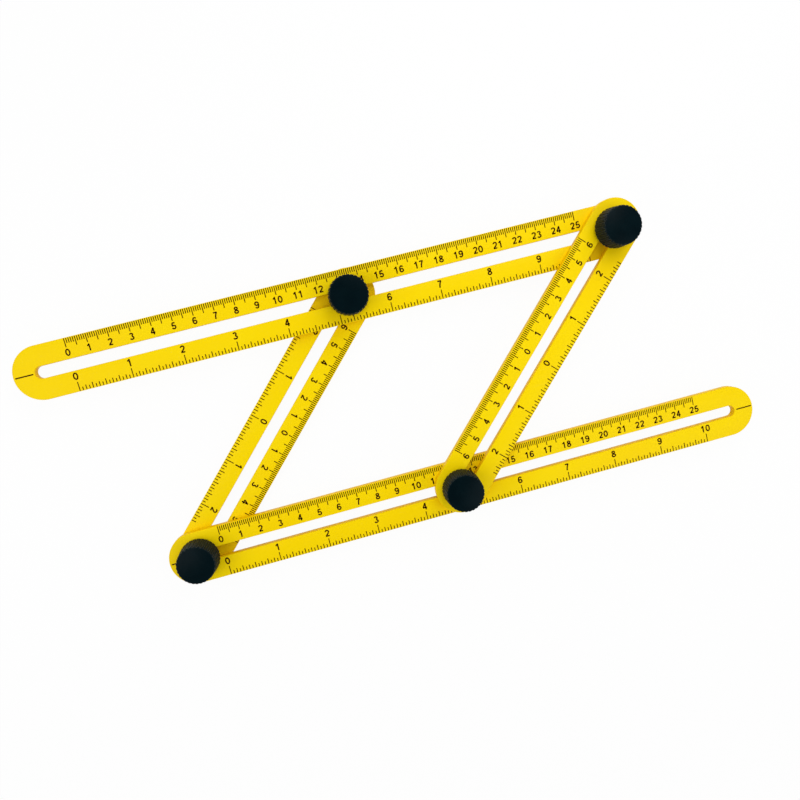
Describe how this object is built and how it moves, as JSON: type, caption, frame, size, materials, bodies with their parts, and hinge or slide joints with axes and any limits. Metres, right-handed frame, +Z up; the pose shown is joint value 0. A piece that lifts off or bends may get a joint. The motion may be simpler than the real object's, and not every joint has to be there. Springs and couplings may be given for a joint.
{
  "type": "multi-angle folding ruler",
  "caption": "Folding template ruler: flat yellow slotted arms with printed centimetre and inch scales, joined as a parallelogram by bolts with ribbed black hand knobs",
  "frame": {"origin": "centre of the bounding box in X and Y at rest, at the underside of the lowest bolt heads", "axes": "+X along the two long arms towards their high numbers, +Y from the lower long arm to the upper one, +Z up along the bolts"},
  "size_m": [0.351, 0.1344, 0.0261],
  "materials": {
    "arm_plastic": "moulded yellow plastic with dark printed scales, satin gloss",
    "knob_plastic": "moulded black plastic, ribbed side and smooth flat top",
    "bolt_steel": "zinc plated steel",
    "washer_steel": "zinc plated steel",
    "insert_brass": "turned brass"
  },
  "bodies": {
    "left_arm": {"short_arm_left": "arm_plastic", "bolt_lower_left": "bolt_steel"},
    "lower_left_washer": {"washer_lower_left": "washer_steel"},
    "lower_arm": {"long_arm_lower": "arm_plastic"},
    "lower_right_bolt": {"bolt_lower_right": "bolt_steel", "washer_lower_right": "washer_steel"},
    "right_arm": {"short_arm_right": "arm_plastic"},
    "upper_left_bolt": {"bolt_upper_left": "bolt_steel"},
    "upper_left_washer": {"washer_upper_left": "washer_steel"},
    "upper_arm": {"long_arm_upper": "arm_plastic"},
    "upper_right_bolt": {"bolt_upper_right": "bolt_steel", "washer_upper_right": "washer_steel"},
    "lower_left_knob": {"knob_lower_left": "knob_plastic", "insert_lower_left": "insert_brass"},
    "upper_left_knob": {"knob_upper_left": "knob_plastic", "insert_upper_left": "insert_brass"},
    "lower_right_knob": {"knob_lower_right": "knob_plastic", "insert_lower_right": "insert_brass"},
    "upper_right_knob": {"knob_upper_right": "knob_plastic", "insert_upper_right": "insert_brass"}
  },
  "joints": [
    {"name": "fold", "type": "hinge", "parent": "left_arm", "child": "lower_left_washer", "pos_m": [-0.11797, -0.05323, 0.0061], "axis": [0, 0, -1], "range_deg": [-30, 118]},
    {"name": "lower_arm_slide", "type": "slide", "parent": "lower_left_washer", "child": "lower_arm", "axis": [-1, 0, 0], "range_m": [0, 0.146]},
    {"name": "lower_right_bolt_travel", "type": "slide", "parent": "lower_arm", "child": "lower_right_bolt", "axis": [1, 0, 0], "range_m": [0, 0.146]},
    {"name": "right_arm_swing", "type": "hinge", "parent": "lower_right_bolt", "child": "right_arm", "pos_m": [0.01553, -0.05323, 0.0102], "axis": [0, 0, 1], "range_deg": [-30, 118]},
    {"name": "upper_left_bolt_travel", "type": "slide", "parent": "left_arm", "child": "upper_left_bolt", "axis": [-0.6972, -0.7169, 0], "range_m": [0, 0.05]},
    {"name": "upper_arm_swing", "type": "hinge", "parent": "upper_left_bolt", "child": "upper_left_washer", "pos_m": [-0.01493, 0.05273, 0.0061], "axis": [0, 0, -1], "range_deg": [-30, 118]},
    {"name": "upper_arm_slide", "type": "slide", "parent": "upper_left_washer", "child": "upper_arm", "axis": [1, 0, 0], "range_m": [0, 0.146]},
    {"name": "upper_right_bolt_travel", "type": "slide", "parent": "upper_arm", "child": "upper_right_bolt", "axis": [-1, 0, 0], "range_m": [0, 0.146]},
    {"name": "lower_left_knob_turn", "type": "hinge", "parent": "left_arm", "child": "lower_left_knob", "pos_m": [-0.11797, -0.05323, 0.0112], "axis": [0, 0, 1], "range_deg": [0, 720]},
    {"name": "upper_left_knob_turn", "type": "hinge", "parent": "upper_left_bolt", "child": "upper_left_knob", "pos_m": [-0.01493, 0.05273, 0.0112], "axis": [0, 0, 1], "range_deg": [0, 720]},
    {"name": "lower_right_knob_turn", "type": "hinge", "parent": "lower_right_bolt", "child": "lower_right_knob", "pos_m": [0.01553, -0.05323, 0.0153], "axis": [0, 0, 1], "range_deg": [0, 720]},
    {"name": "upper_right_knob_turn", "type": "hinge", "parent": "upper_right_bolt", "child": "upper_right_knob", "pos_m": [0.11857, 0.05273, 0.0153], "axis": [0, 0, 1], "range_deg": [0, 720]}
  ],
  "couplings": [
    {"joint": "right_arm_swing", "follows": "fold", "ratio": 1},
    {"joint": "upper_arm_swing", "follows": "fold", "ratio": 1},
    {"joint": "lower_right_bolt_travel", "follows": "lower_arm_slide", "ratio": 1},
    {"joint": "upper_right_bolt_travel", "follows": "upper_arm_slide", "ratio": 1}
  ]
}
